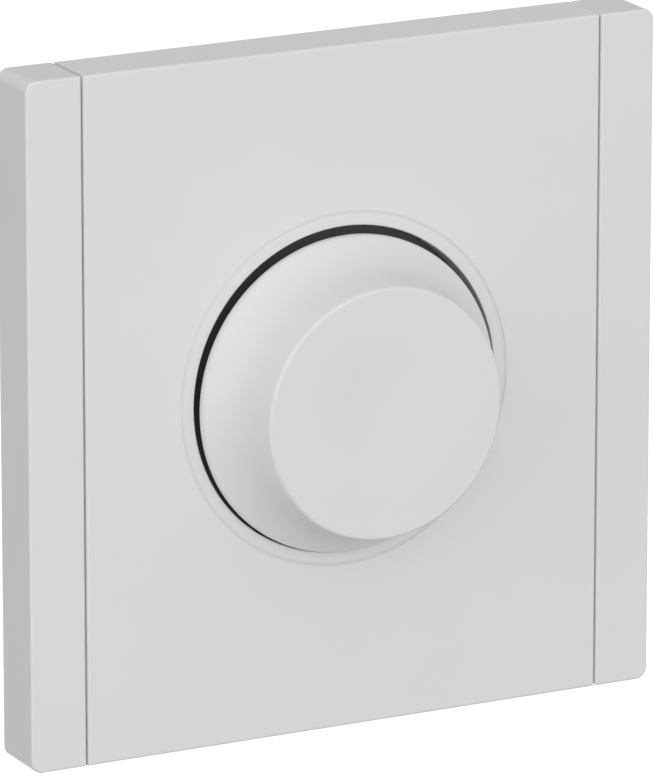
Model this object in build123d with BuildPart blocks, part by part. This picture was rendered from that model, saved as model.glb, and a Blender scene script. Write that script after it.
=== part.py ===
from build123d import *
import os

os.makedirs("parts", exist_ok=True)

# All sizes are in millimetres. X runs to the right, Z up, and heights run from the wall
# towards the room, so what sits inside the wall box has a negative height.

# Cover: two side strips on one frame, and a plate clipped between them
cover_width = 80.0
cover_height = 81.0
cover_depth = 7.5
strip_width = 6.9
seam_gap = 0.2
cover_wall = 1.6
cover_panel = 2.0
return_wall = 1.4
corner_radius = 1.35
edge_radius = 0.3
cover_shift = 0.15  # the play of the clips lets the cover sit this far to the right of the shaft's axis
cover_rise = 0.3  # and this far above it
web_thickness = 2.0
web_gap = 0.4

# Round opening with its fine ring groove and its collar
opening_radius = 19.3
lip_edge = 0.15
groove_offset = 1.25
groove_slope = 0.35
groove_wall = 0.05
groove_depth = 0.07
collar_wall = 1.4
collar_depth = 3.2

# Knob
knob_rise = 10.6
knob_flare = 3.95
neck_height = 3.8
neck_flare = 0.55
knob_gap = 0.55
knob_stand = 0.6
knob_wall = 1.6
knob_edge = 0.4
rim_land = 0.75
rim_edge = 0.8
rim_wall = 1.2
dish_flat = 1.0
dish_margin = 4.3
dish_depth = 0.25
hub_radius = 4.6
rib_count = 6
rib_thickness = 1.0
rib_height = 5.0

# Shaft and the way it travels
shaft_radius = 2.0
shaft_fit = 0.04
flat_depth = 0.7
push_travel = 1.8
travel_gap = 0.3
clip_leaf = 0.45
clip_leaf_width = 1.8
retaining_clip = 0.5
retaining_groove = 0.4
retaining_radius = 3.6
retaining_mouth = 2.2

# Pressed steel bracket
bracket_margin = 1.8
bracket_corner = 7.0
bracket_sheet = 1.0
bracket_raise = 0.8
seat_claw_gap = 0.6
seat_hook_gap = 1.2
seat_corner = 8.0
box_screw_spacing = 60.0
box_slot_length = 5.0
box_slot_width = 3.6
box_head_room = 7.0

# Snap hooks of the plate
hook_width = 6.0
hook_sheet = 1.5
hook_spacing = 18.0
hook_barb = 1.0
hook_reach = 2.6
hook_play = 0.4
hook_room = 0.3
hook_lift = 0.15

# Dark insulating cap in front of the bracket
cap_overlap = 1.6
cap_height = 2.2
cap_wall = 1.2
cap_boss_radius = 9.5
cap_edge = 0.5

# Threaded bush, washer and nut
bush_radius = 5.0
bush_reach = 5.4
bush_gap = 0.1
bush_edge = 0.4
flange_radius = 8.8
flange_sheet = 1.5
washer_radius = 8.5
washer_sheet = 0.6
nut_across_flats = 13.0
nut_height = 2.0

# Turning control behind the bracket
can_sheet = 0.5
rotor_radius = 6.6
rotor_sheet = 1.5
rotor_hub_radius = 3.6
rotor_hub_reach = 0.8
wiper_room = 2.2
wiper_sheet = 0.3
track_sheet = 0.1
track_inner = 4.6
track_outer = 6.4
board_sheet = 1.2
stop_width = 5.6
stop_depth = 1.2
lug_width = 2.0
turn_range = 300.0
stop_gap = 0.25
pot_pin_pitch = 4.0
pot_pin_edge = 1.2

# Push switch behind the control
switch_width = 14.0
switch_height = 13.0
switch_wall = 1.0
plunger_width = 6.4
plunger_length = 3.4
plunger_gap = 0.2
plunger_edge = 0.4
contact_sheet = 0.4
contact_width = 2.4
contact_offset = 1.9
contact_spacing = 9.6
spring_sheet = 0.3
spring_length = 8.0

# Case in the wall box
housing_width = 42.0
housing_height = 40.0
housing_depth = 24.0
housing_corner = 6.0
housing_wall = 1.6
solder_room = 3.8
housing_edge = 0.8
boss_radius = 3.4
boss_inset = 5.2
case_screw_radius = 1.25
case_screw_grip = 6.0
case_head_radius = 2.2
case_head_height = 1.6

# Circuit board and its pieces
board_gap = 0.3
pcb_sheet = 1.6
pcb_edge_gap = 0.7
pin_size = 0.8
pin_gap = 0.1
pin_tail = 0.3
post_radius = 1.5
fuse_radius = 2.6
fuse_length = 20.0
fuse_cap_length = 5.0
fuse_glass = 0.5
fuse_lift = 5.0
fuse_side_gap = 1.2
clip_sheet = 0.5
clip_width = 4.0
capacitor_height = 6.0
capacitor_depth = 10.0
capacitor_edge = 0.4
capacitor_pin_inset = 1.7
choke_gap = 1.3
choke_section = 2.0
choke_depth = 6.0
choke_wire = 0.7
choke_angle = 300.0
choke_resistor_gap = 0.85
triac_height = 11.0
triac_depth = 3.2
triac_pitch = 2.54
triac_z = 2.6
triac_side_gap = 1.0
triac_control_gap = 1.6
lead_drop = 1.5
rivet_radius = 1.5
rivet_head_radius = 2.6
rivet_head_height = 0.8
resistor_radius = 1.15
resistor_length = 6.4
resistor_gap = 0.45
diac_radius = 0.95
diac_length = 4.2
lead_bend = 0.9

# Wire terminals
terminal_boss_gap = 0.4
terminal_height = 7.8
terminal_length = 9.6
terminal_gap = 0.1
wire_radius = 1.5
wire_edge = 2.4
bay_gap = 0.2
terminal_screw_radius = 1.5
terminal_head_radius = 2.3
terminal_head_height = 1.2
screw_thread_gap = 0.05
screw_way_gap = 0.4
tab_width = 3.0
tab_switch_gap = 1.0
tab_sheet = 0.8
partition_wall = 1.2
partition_gap = 0.9

# Spreading claws
claw_cap_gap = 1.9
claw_case_gap = 1.6
claw_screw_radius = 1.5
claw_screw_length = 17.0
claw_head_radius = 2.75
claw_head_height = 1.8
claw_slot_length = 5.0
claw_slot_width = 3.6
claw_sheet = 1.2
claw_width = 9.0
claw_leg_gap = 2.0
claw_top = 3.0
claw_nut_depth = 9.8
claw_nut_reach = 2.4
claw_length = 17.0
claw_bite = 1.1
claw_teeth = 4
screw_slot_width = 0.8
screw_slot_depth = 0.7

# Heights and places worked out from the sizes above
cover_centre = (cover_shift, cover_rise)
panel_back = cover_depth - cover_panel
centre_width = cover_width - 2 * strip_width - 2 * seam_gap
strip_inner = cover_width / 2 - strip_width
collar_back = cover_depth - collar_depth

bracket_width = cover_width - 2 * cover_wall - 2 * bracket_margin
bracket_height = cover_height - 2 * cover_wall - 2 * bracket_margin
seat_back = bracket_raise
seat_front = bracket_raise + bracket_sheet
web_back = seat_front
web_front = web_back + web_thickness
cap_radius = opening_radius + cap_overlap
claw_screw_x = max(cap_radius + claw_cap_gap, housing_width / 2 + claw_case_gap) + claw_head_radius
claw_leg_x = claw_screw_x + claw_leg_gap
seat_width = 2 * (claw_leg_x + claw_sheet + seat_claw_gap)
cap_front = seat_front + cap_height
washer_front = cap_front + washer_sheet
bush_front = seat_front + bush_reach

knob_face = cover_depth + knob_rise
rim_radius = opening_radius - knob_gap
knob_face_radius = rim_radius - knob_flare
dish_radius = knob_face_radius - dish_margin
rim_back = cover_depth + knob_stand
rim_front = rim_back + rim_land
hub_back = bush_front + push_travel + travel_gap
shaft_front = knob_face - 2 * knob_wall
shaft_flat = shaft_radius - flat_depth
flat_back = hub_back - travel_gap
leaf_back = shaft_flat + shaft_fit
leaf_front = leaf_back + clip_leaf

flange_back = seat_back - flange_sheet
retaining_back = flange_back - retaining_clip
rotor_front = retaining_back - push_travel - travel_gap
rotor_back = rotor_front - rotor_sheet
board_front = rotor_back - wiper_room
board_back = board_front - board_sheet
track_front = board_front + track_sheet
can_inner = flange_radius - can_sheet
switch_inner_front = board_back - switch_wall
shaft_back = switch_inner_front
plunger_back = shaft_back - plunger_length
bridge_back = plunger_back - contact_sheet
contact_front = bridge_back - push_travel

floor_back = -housing_depth
floor_front = floor_back + housing_wall
pcb_back = floor_front + solder_room
pcb_front = pcb_back + pcb_sheet
pin_back = pcb_back - pin_tail
switch_inner_back = pcb_front + switch_wall

inner_width = housing_width - 2 * housing_wall
inner_height = housing_height - 2 * housing_wall
hook_in = max(housing_height / 2, cap_radius) + hook_room
hook_z = hook_in + hook_sheet / 2
hook_out = hook_in + hook_sheet
seat_height = 2 * (hook_out + hook_barb + seat_hook_gap)
boss_x = housing_width / 2 - boss_inset
boss_z = housing_height / 2 - boss_inset
boss_points = [(boss_x, boss_z), (-boss_x, -boss_z)]
case_screw_seat = seat_back - case_screw_grip

terminal_room = boss_x - boss_radius - terminal_boss_gap
terminal_between = partition_wall + 2 * partition_gap
terminal_width = (2 * terminal_room - 2 * terminal_between) / 3
terminal_pitch = terminal_width + terminal_between
terminal_xs = [-terminal_pitch, 0, terminal_pitch]
terminal_bottom = -inner_height / 2 + terminal_gap
terminal_top = terminal_bottom + terminal_height
terminal_front = floor_front + terminal_length
wire_z = terminal_top - wire_edge
terminal_screw_tip = wire_z - wire_radius
terminal_screw_seat = terminal_bottom - terminal_gap
tab_top = -switch_height / 2 - tab_switch_gap
pcb_top = inner_height / 2 - board_gap
pcb_bottom = terminal_top + pcb_edge_gap

capacitor_z = inner_height / 2 - capacitor_height / 2 - 2 * board_gap
fuse_x = -inner_width / 2 + fuse_length / 2 + fuse_side_gap
fuse_end = fuse_x + fuse_length / 2
fuse_z = inner_height / 2 - fuse_radius - clip_sheet - fuse_side_gap
fuse_height = pcb_front + fuse_lift
fuse_clip_xs = [fuse_x - (fuse_length - fuse_cap_length) / 2, fuse_x + (fuse_length - fuse_cap_length) / 2]
capacitor_x = (fuse_end + boss_x - boss_radius) / 2
capacitor_width = boss_x - boss_radius - fuse_end - 4 * board_gap
capacitor_pitch = capacitor_width - 2 * capacitor_pin_inset
choke_x = (inner_width + switch_width) / 4
choke_outer = (inner_width - switch_width) / 4 - choke_gap - choke_wire
choke_inner = choke_outer - choke_section
resistor_z = tab_top + resistor_gap + resistor_radius
choke_z = resistor_z + resistor_radius + choke_resistor_gap + choke_wire + choke_outer
triac_width = inner_width / 2 - triac_side_gap - triac_control_gap - flange_radius
triac_x = -inner_width / 2 + triac_width / 2 + triac_side_gap
lead_z = triac_z - triac_height / 2 - lead_drop
diac_z = tab_top + diac_radius

pot_pin_points = [(step * pot_pin_pitch, flange_radius - pot_pin_edge) for step in (-1, 0, 1)]
contact_points = [(-contact_spacing / 2, contact_offset), (contact_spacing / 2, contact_offset)]
triac_points = [(triac_x + step * triac_pitch, lead_z) for step in (-1, 0, 1)]
capacitor_points = [(capacitor_x + side * capacitor_pitch / 2, capacitor_z) for side in (-1, 1)]
choke_pin_radius = choke_outer + choke_wire - pin_size / 2
choke_points = [(choke_x, choke_z + side * choke_pin_radius) for side in (-1, 1)]
fuse_points = [(x, fuse_z) for x in fuse_clip_xs]
resistor_points = [(choke_x + side * (resistor_length / 2 + lead_bend), resistor_z) for side in (-1, 1)]
diac_points = [(triac_x + side * (diac_length / 2 + lead_bend), diac_z) for side in (-1, 1)]
board_points = (
    pot_pin_points + contact_points + triac_points + capacitor_points
    + choke_points + fuse_points + resistor_points + diac_points
)


def wall_plane(height):
    """Plane parallel to the wall at this height, facing the room, with Z upwards."""
    return Plane.XZ.offset(height)


def side_plane(x):
    """Plane across the object at this X: first direction Z, second direction height."""
    return Plane(origin=(x, 0, 0), x_dir=(0, 0, 1), z_dir=(1, 0, 0))


def level_plane(z):
    """Level plane at this Z: first direction X, second direction height."""
    return Plane(origin=(0, 0, z), x_dir=(1, 0, 0), z_dir=(0, 0, -1))


def add_flatted_circle(radius, flat):
    """Circle with a flat across its top, this far from the centre."""
    Circle(radius)
    with Locations((0, flat + radius)):
        Rectangle(2 * radius, 2 * radius, mode=Mode.SUBTRACT)


def add_pins(points, front):
    """Square pins that start at this height and end just behind the circuit board."""
    with BuildSketch(wall_plane(pin_back)) as ends:
        with Locations(*points):
            Rectangle(pin_size, pin_size)
    extrude(ends.sketch, amount=front - pin_back)


def add_screw(seat, radius, length, head_radius, head_height):
    """Slotted cheese-head screw: the head stands on the seat plane, the shank runs behind it."""
    with BuildSketch(seat) as head:
        Circle(head_radius)
    extrude(head.sketch, amount=head_height)
    with BuildSketch(seat) as shank:
        Circle(radius)
    extrude(shank.sketch, amount=-length)
    with BuildSketch(seat.offset(head_height - screw_slot_depth)) as slot:
        Rectangle(3 * head_radius, screw_slot_width)
    extrude(slot.sketch, amount=screw_slot_depth, mode=Mode.SUBTRACT)


def rings(piece):
    """Closed round edges of a piece, front first."""
    return piece.edges().filter_by(GeomType.CIRCLE).filter_by(lambda edge: edge.is_closed).sort_by(Axis.Y)


def save(piece, name):
    """Label a finished piece and write it to its own file."""
    piece.part.label = name
    export_step(piece.part, f"parts/{name}.step")


# Cover frame: both side strips as hollow channels, joined by a web that lies on the bracket's seat
with BuildPart() as cover_frame:
    with BuildSketch(wall_plane(0)):
        with Locations(cover_centre):
            RectangleRounded(cover_width, cover_height, corner_radius)
    extrude(amount=cover_depth)
    fillet(cover_frame.faces().sort_by(Axis.Y)[0].edges(), edge_radius)
    with BuildSketch(wall_plane(0)):
        with Locations(cover_centre):
            Rectangle(cover_width - 2 * cover_wall, cover_height - 2 * cover_wall)
    extrude(amount=panel_back, mode=Mode.SUBTRACT)
    with BuildSketch(wall_plane(0)):
        with Locations(cover_centre):
            Rectangle(2 * strip_inner, 2 * cover_height)
    extrude(amount=cover_depth, mode=Mode.SUBTRACT)
    seam_edges = cover_frame.edges().filter_by(Axis.Z).group_by(Axis.Y)[0]
    seam_limit = strip_inner + seam_gap
    fillet(seam_edges.filter_by(lambda edge: abs(edge.center().X - cover_shift) < seam_limit), edge_radius)
    with BuildSketch(wall_plane(web_back)):
        with Locations(cover_centre):
            with GridLocations(2 * strip_inner + return_wall, 0, 2, 1):
                Rectangle(return_wall, cover_height - 2 * cover_wall)
    extrude(amount=panel_back - web_back)
    with BuildSketch(wall_plane(web_back)):
        with Locations(cover_centre):
            Rectangle(2 * strip_inner, cover_height - 2 * cover_wall - 2 * web_gap)
        window_width = 2 * (claw_screw_x + claw_head_radius + web_gap)
        window_height = 2 * (hook_out + hook_barb + web_gap + cover_rise)
        RectangleRounded(window_width, window_height, seat_corner, mode=Mode.SUBTRACT)
        with Locations((0, box_screw_spacing / 2), (0, -box_screw_spacing / 2)):
            Circle(box_head_room / 2, mode=Mode.SUBTRACT)
    extrude(amount=web_thickness)
save(cover_frame, "cover_frame")

# Centre plate: a panel with walls to the wall at top and bottom, returns that hold the web
# down, a collar round the opening and four snap hooks
with BuildPart() as centre_plate:
    with BuildSketch(wall_plane(panel_back)):
        with Locations(cover_centre):
            Rectangle(centre_width, cover_height)
    extrude(amount=cover_panel)
    with BuildSketch(wall_plane(0)):
        with Locations(cover_centre):
            with GridLocations(0, cover_height - cover_wall, 1, 2):
                Rectangle(centre_width, cover_wall)
    extrude(amount=panel_back)
    with BuildSketch(wall_plane(web_front)):
        with Locations(cover_centre):
            with GridLocations(centre_width - return_wall, 0, 2, 1):
                Rectangle(return_wall, cover_height - 2 * cover_wall)
    extrude(amount=panel_back - web_front)
    fillet(centre_plate.faces().sort_by(Axis.Y)[0].edges(), edge_radius)
    with BuildSketch(wall_plane(collar_back)):
        with Locations(cover_centre):
            Circle(opening_radius + collar_wall)
    extrude(amount=panel_back - collar_back)
    with BuildSketch(wall_plane(collar_back)):
        with Locations(cover_centre):
            Circle(opening_radius)
    extrude(amount=cover_depth - collar_back, mode=Mode.SUBTRACT)
    fillet(rings(centre_plate)[0], lip_edge)
    groove_start = cover_shift + opening_radius + groove_offset
    with BuildSketch(level_plane(cover_rise)):
        with BuildLine():
            Polyline(
                (groove_start, cover_depth),
                (groove_start + groove_slope, cover_depth - groove_depth),
                (groove_start + groove_slope + groove_wall, cover_depth),
                close=True,
            )
        make_face()
    revolve(axis=Axis((cover_shift, 0, cover_rise), (0, 1, 0)), mode=Mode.SUBTRACT)
    barb_front = seat_back - hook_lift
    hook_back = barb_front - hook_reach
    for side in (1, -1):
        outline = [
            (hook_in, panel_back),
            (hook_in, hook_back),
            (hook_z, hook_back),
            (hook_out + hook_barb, barb_front - hook_barb / 2),
            (hook_out + hook_barb, barb_front),
            (hook_out, barb_front),
            (hook_out, panel_back),
        ]
        for x in (-hook_spacing / 2, hook_spacing / 2):
            with BuildSketch(side_plane(cover_shift + x)):
                with BuildLine():
                    Polyline(*[(cover_rise + side * z, height) for z, height in outline], close=True)
                make_face()
            extrude(amount=hook_width / 2, both=True)
save(centre_plate, "centre_plate")

# Mounting bracket: sheet steel that lies on the wall, with its centre pressed forward
with BuildPart() as mounting_bracket:
    with BuildSketch(wall_plane(0)):
        RectangleRounded(bracket_width, bracket_height, bracket_corner)
    extrude(amount=bracket_sheet)
    with BuildSketch(wall_plane(0)):
        outer_corner = seat_corner + bracket_sheet
        RectangleRounded(seat_width + 2 * bracket_sheet, seat_height + 2 * bracket_sheet, outer_corner)
    extrude(amount=seat_front)
    chamfer(mounting_bracket.faces().sort_by(Axis.Y)[0].edges(), bracket_raise / 2)
    with BuildSketch(wall_plane(0)):
        RectangleRounded(seat_width, seat_height, seat_corner)
    extrude(amount=seat_back, mode=Mode.SUBTRACT)
    with BuildSketch(wall_plane(0)):
        Circle(bush_radius + bush_gap)
        with GridLocations(hook_spacing, 2 * hook_z + hook_barb, 2, 2):
            Rectangle(hook_width + 2 * hook_play, hook_sheet + hook_barb + 2 * hook_play)
        with Locations((0, box_screw_spacing / 2), (0, -box_screw_spacing / 2)):
            SlotOverall(box_slot_length, box_slot_width, rotation=90)
        with Locations((claw_screw_x, 0), (-claw_screw_x, 0)):
            SlotOverall(claw_slot_length, claw_slot_width)
        with Locations((triac_x, triac_z)):
            Circle(rivet_radius + screw_thread_gap)
        with Locations(*boss_points):
            Circle(case_screw_radius + screw_thread_gap)
    extrude(amount=seat_front, mode=Mode.SUBTRACT)
save(mounting_bracket, "mounting_bracket")

# Insulating cap: a dark moulded dish that covers the bracket inside the opening
with BuildPart() as insulating_cap:
    with BuildSketch(level_plane(0)):
        with BuildLine():
            Polyline(
                (bush_radius + bush_gap, seat_front),
                (cap_boss_radius, seat_front),
                (cap_boss_radius, cap_front - cap_wall),
                (cap_radius - cap_wall, cap_front - cap_wall),
                (cap_radius - cap_wall, seat_front),
                (cap_radius, seat_front),
                (cap_radius, cap_front),
                (bush_radius + bush_gap, cap_front),
                close=True,
            )
        make_face()
    revolve(axis=Axis.Y)
    chamfer(rings(insulating_cap).group_by(Axis.Y)[0].sort_by(SortBy.RADIUS)[-1], cap_edge)
save(insulating_cap, "insulating_cap")

# Threaded bush: brass neck on a flange that closes the control's can
with BuildPart() as threaded_bush:
    with BuildSketch(wall_plane(flange_back)):
        Circle(flange_radius)
    extrude(amount=flange_sheet)
    with BuildSketch(wall_plane(seat_back)):
        Circle(bush_radius)
    extrude(amount=bush_front - seat_back)
    chamfer(threaded_bush.edges().group_by(Axis.Y)[0], bush_edge)
    with BuildSketch(wall_plane(flange_back)):
        Circle(shaft_radius + shaft_fit)
    extrude(amount=bush_front - flange_back, mode=Mode.SUBTRACT)
save(threaded_bush, "threaded_bush")

with BuildPart() as lock_washer:
    with BuildSketch(wall_plane(cap_front)):
        Circle(washer_radius)
        Circle(bush_radius + bush_gap, mode=Mode.SUBTRACT)
    extrude(amount=washer_sheet)
save(lock_washer, "lock_washer")

with BuildPart() as bush_nut:
    with BuildSketch(wall_plane(washer_front)):
        RegularPolygon(nut_across_flats / 2, 6, major_radius=False)
        Circle(bush_radius + screw_thread_gap, mode=Mode.SUBTRACT)
    extrude(amount=nut_height)
save(bush_nut, "bush_nut")

# Shaft: a turned spindle with a long flat for the knob and a groove for its clip
with BuildPart() as shaft:
    with BuildSketch(wall_plane(shaft_back)):
        Circle(shaft_radius)
    extrude(amount=shaft_front - shaft_back)
    chamfer(shaft.edges().group_by(Axis.Y)[0], retaining_groove)
    with BuildSketch(wall_plane(flat_back)):
        with Locations((0, shaft_flat + shaft_radius)):
            Rectangle(2 * shaft_radius, 2 * shaft_radius)
    extrude(amount=shaft_front - flat_back, mode=Mode.SUBTRACT)
    with BuildSketch(wall_plane(shaft_back)):
        with Locations((0, shaft_flat + shaft_radius)):
            Rectangle(2 * shaft_radius, 2 * shaft_radius)
    extrude(amount=retaining_back - shaft_back, mode=Mode.SUBTRACT)
    with BuildSketch(wall_plane(retaining_back)):
        Circle(shaft_radius)
        Circle(shaft_radius - retaining_groove, mode=Mode.SUBTRACT)
    extrude(amount=retaining_clip, mode=Mode.SUBTRACT)
save(shaft, "shaft")

# Retaining clip: an open ring in the shaft's groove that stops against the flange
with BuildPart() as shaft_clip:
    with BuildSketch(wall_plane(retaining_back)):
        Circle(retaining_radius)
        Circle(shaft_radius - retaining_groove + screw_thread_gap, mode=Mode.SUBTRACT)
        with Locations((0, -retaining_radius)):
            Rectangle(retaining_mouth, 2 * retaining_radius, mode=Mode.SUBTRACT)
    extrude(amount=retaining_clip)
save(shaft_clip, "shaft_clip")

# Knob: a hollow bell with a crisp face, a tapered neck that flares to its rim, a shallow finger
# dish, a hub and radial ribs
with BuildPart() as knob:
    with BuildSketch(level_plane(0)):
        with BuildLine():
            neck_end = (knob_face_radius + neck_flare, knob_face - neck_height)
            neck = Line((knob_face_radius, knob_face), neck_end)
            TangentArc(neck_end, (rim_radius, rim_front), tangent=neck % 1)
            Polyline(
                (rim_radius, rim_front),
                (rim_radius, rim_back),
                (0, rim_back),
                (0, knob_face),
                (knob_face_radius, knob_face),
            )
        make_face()
    revolve(axis=Axis.Y)
    fillet(rings(knob)[2], rim_edge)
    fillet(rings(knob)[0], knob_edge)
    with BuildSketch(level_plane(0)):
        with BuildLine():
            dish_middle = ((dish_flat + dish_radius) / 2, knob_face - dish_depth / 2)
            TangentArc((dish_flat, knob_face - dish_depth), dish_middle, tangent=(1, 0))
            TangentArc((dish_radius, knob_face), dish_middle, tangent=(-1, 0))
            Polyline(
                (dish_radius, knob_face),
                (0, knob_face),
                (0, knob_face - dish_depth),
                (dish_flat, knob_face - dish_depth),
            )
        make_face()
    revolve(axis=Axis.Y, mode=Mode.SUBTRACT)
    hollow_front = knob_face - knob_wall
    with BuildSketch(level_plane(0)):
        with BuildLine():
            Polyline(
                (0, hollow_front),
                (0, rim_back),
                (rim_radius - rim_wall, rim_back),
                (knob_face_radius - knob_wall, (hollow_front + rim_back) / 2),
                (knob_face_radius - knob_wall, hollow_front),
                close=True,
            )
        make_face()
    revolve(axis=Axis.Y, mode=Mode.SUBTRACT)
    with BuildSketch(wall_plane(hub_back)):
        Circle(hub_radius)
    extrude(amount=hollow_front + knob_wall / 2 - hub_back)
    rib_length = knob_face_radius - knob_wall / 2 - hub_radius / 2
    with BuildSketch(wall_plane(hollow_front - rib_height)):
        with PolarLocations(hub_radius / 2 + rib_length / 2, rib_count):
            Rectangle(rib_length, rib_thickness)
    extrude(amount=rib_height + knob_wall / 2)
    with BuildSketch(wall_plane(hub_back)):
        add_flatted_circle(shaft_radius + shaft_fit, leaf_front + shaft_fit)
    extrude(amount=shaft_front + travel_gap - hub_back, mode=Mode.SUBTRACT)
save(knob, "knob")

# Knob clip: a spring leaf between the shaft's flat and the hub, hooked under the hub
with BuildPart() as knob_clip:
    with BuildSketch(side_plane(0)):
        with BuildLine():
            Polyline(
                (leaf_back, shaft_front),
                (leaf_front, shaft_front),
                (leaf_front, hub_back),
                (hub_radius, hub_back),
                (hub_radius, hub_back - travel_gap / 2),
                (leaf_back, hub_back - travel_gap / 2),
                close=True,
            )
        make_face()
    extrude(amount=clip_leaf_width / 2, both=True)
save(knob_clip, "knob_clip")

# Control can: a drawn steel tube with a stop tab pressed in at the bottom
with BuildPart() as pot_can:
    with BuildSketch(wall_plane(board_front)):
        Circle(flange_radius)
        Circle(can_inner, mode=Mode.SUBTRACT)
        with Locations((0, -can_inner + stop_depth / 2)):
            Rectangle(stop_width, stop_depth + can_sheet)
    extrude(amount=flange_back - board_front)
save(pot_can, "pot_can")

# Rotor: a moulded disc keyed to the shaft's flat, with a lug that meets the stop tab
with BuildPart() as pot_rotor:
    with BuildSketch(wall_plane(rotor_back)):
        Circle(rotor_radius)
        lug_reach = can_inner - stop_gap - rotor_radius / 2
        with PolarLocations(rotor_radius / 2 + lug_reach / 2, 1, start_angle=90 + turn_range / 2):
            Rectangle(lug_reach, lug_width)
    extrude(amount=rotor_sheet)
    with BuildSketch(wall_plane(rotor_back)):
        Circle(rotor_hub_radius)
    extrude(amount=-rotor_hub_reach)
    with BuildSketch(wall_plane(rotor_back - rotor_hub_reach)):
        add_flatted_circle(shaft_radius + shaft_fit, shaft_flat + shaft_fit)
    extrude(amount=rotor_sheet + rotor_hub_reach, mode=Mode.SUBTRACT)
save(pot_rotor, "pot_rotor")

# Wiper: a bronze ring under the rotor with one finger bent down to the track
with BuildPart() as pot_wiper:
    with BuildSketch(wall_plane(rotor_back)):
        Circle(track_outer)
        Circle(rotor_hub_radius + screw_thread_gap, mode=Mode.SUBTRACT)
    extrude(amount=-wiper_sheet)
    finger_x = (track_inner + track_outer) / 2
    with BuildSketch(level_plane(0)):
        with BuildLine():
            Polyline(
                (finger_x + wiper_sheet, rotor_back - wiper_sheet),
                (finger_x + wiper_sheet, track_front),
                (finger_x, track_front),
                (finger_x, rotor_back - wiper_sheet),
                close=True,
            )
        make_face()
    extrude(amount=lug_width / 2, both=True)
save(pot_wiper, "pot_wiper")

with BuildPart() as carbon_track:
    with BuildSketch(level_plane(0)):
        with Locations(((track_inner + track_outer) / 2, board_front + track_sheet / 2)):
            Rectangle(track_outer - track_inner, track_sheet)
    revolve(axis=Axis.Y, revolution_arc=turn_range)
save(carbon_track, "carbon_track")

with BuildPart() as track_board:
    with BuildSketch(wall_plane(board_back)):
        Circle(flange_radius)
        Circle(shaft_radius + travel_gap, mode=Mode.SUBTRACT)
    extrude(amount=board_sheet)
save(track_board, "track_board")

with BuildPart() as pot_pins:
    add_pins(pot_pin_points, board_back)
save(pot_pins, "pot_pins")

# Push switch: a box with a guided plunger, between the control and the circuit board
guide_height = plunger_width + 2 * plunger_gap
with BuildPart() as switch_housing:
    with BuildSketch(wall_plane(pcb_front)):
        Rectangle(switch_width, switch_height)
    extrude(amount=board_back - pcb_front)
    with BuildSketch(wall_plane(switch_inner_back)):
        Rectangle(switch_width - 2 * switch_wall, guide_height)
    extrude(amount=switch_inner_front - switch_inner_back, mode=Mode.SUBTRACT)
    with BuildSketch(wall_plane(switch_inner_front)):
        Circle(shaft_radius + travel_gap)
    extrude(amount=switch_wall, mode=Mode.SUBTRACT)
    with BuildSketch(wall_plane(pcb_front)):
        with Locations(*contact_points):
            Rectangle(pin_size + 2 * pin_gap, pin_size + 2 * pin_gap)
    extrude(amount=switch_wall, mode=Mode.SUBTRACT)
save(switch_housing, "switch_housing")

with BuildPart() as switch_plunger:
    with BuildSketch(wall_plane(plunger_back)):
        Rectangle(plunger_width, plunger_width)
    extrude(amount=plunger_length)
    chamfer(switch_plunger.edges().group_by(Axis.Y)[0], plunger_edge)
save(switch_plunger, "switch_plunger")

with BuildPart() as contact_bridge:
    with BuildSketch(wall_plane(bridge_back)):
        with Locations((0, contact_offset)):
            Rectangle(contact_spacing + contact_width / 2, contact_width)
    extrude(amount=contact_sheet)
save(contact_bridge, "contact_bridge")

with BuildPart() as fixed_contacts:
    with BuildSketch(wall_plane(switch_inner_back)):
        with Locations(*contact_points):
            Rectangle(contact_width / 2, contact_width)
    extrude(amount=contact_front - switch_inner_back)
    add_pins(contact_points, switch_inner_back)
save(fixed_contacts, "fixed_contacts")

# Return spring: a leaf bent into a U between the plunger and the switch's back wall
spring_bend = (plunger_back - switch_inner_back) / 2
with BuildPart() as return_spring:
    with BuildSketch(level_plane(-contact_offset)):
        with BuildLine():
            arm = Line((spring_length / 2, plunger_back), (-spring_length / 2 + spring_bend, plunger_back))
            bend = TangentArc(arm @ 1, arm @ 1 + Vector(0, -2 * spring_bend), tangent=(-1, 0))
            Line(bend @ 1, (spring_length / 2, switch_inner_back))
            offset(amount=-spring_sheet, side=Side.LEFT)
        make_face()
    extrude(amount=contact_width / 2, both=True)
save(return_spring, "return_spring")

# Circuit board: notched round the case's corner boss and drilled for every pin
with BuildPart() as circuit_board:
    with BuildSketch(wall_plane(pcb_back)):
        RectangleRounded(inner_width - 2 * board_gap, 2 * pcb_top, housing_corner - housing_wall)
        with Locations((0, pcb_bottom)):
            Rectangle(inner_width, inner_height, align=(Align.CENTER, Align.MAX), mode=Mode.SUBTRACT)
        with Locations(boss_points[0]):
            Circle(boss_radius + board_gap, mode=Mode.SUBTRACT)
            with Locations((boss_inset / 2, boss_inset / 2)):
                Rectangle(2 * boss_radius, 2 * boss_radius, mode=Mode.SUBTRACT)
        with Locations(*board_points):
            Rectangle(pin_size + 2 * pin_gap, pin_size + 2 * pin_gap, mode=Mode.SUBTRACT)
    extrude(amount=pcb_sheet)
save(circuit_board, "circuit_board")

# Triac: flat package riveted to the bracket, which takes its heat
with BuildPart() as triac:
    with BuildSketch(wall_plane(seat_back - triac_depth)):
        with Locations((triac_x, triac_z)):
            Rectangle(triac_width, triac_height)
            Circle(rivet_radius + screw_thread_gap, mode=Mode.SUBTRACT)
    extrude(amount=triac_depth)
    lead_front = seat_back - triac_depth / 2
    with BuildSketch(wall_plane(lead_front - pin_size)):
        with Locations(*triac_points):
            with Locations((0, lead_drop / 2)):
                Rectangle(pin_size, lead_drop + pin_size)
    extrude(amount=pin_size)
    add_pins(triac_points, lead_front)
save(triac, "triac")

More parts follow.
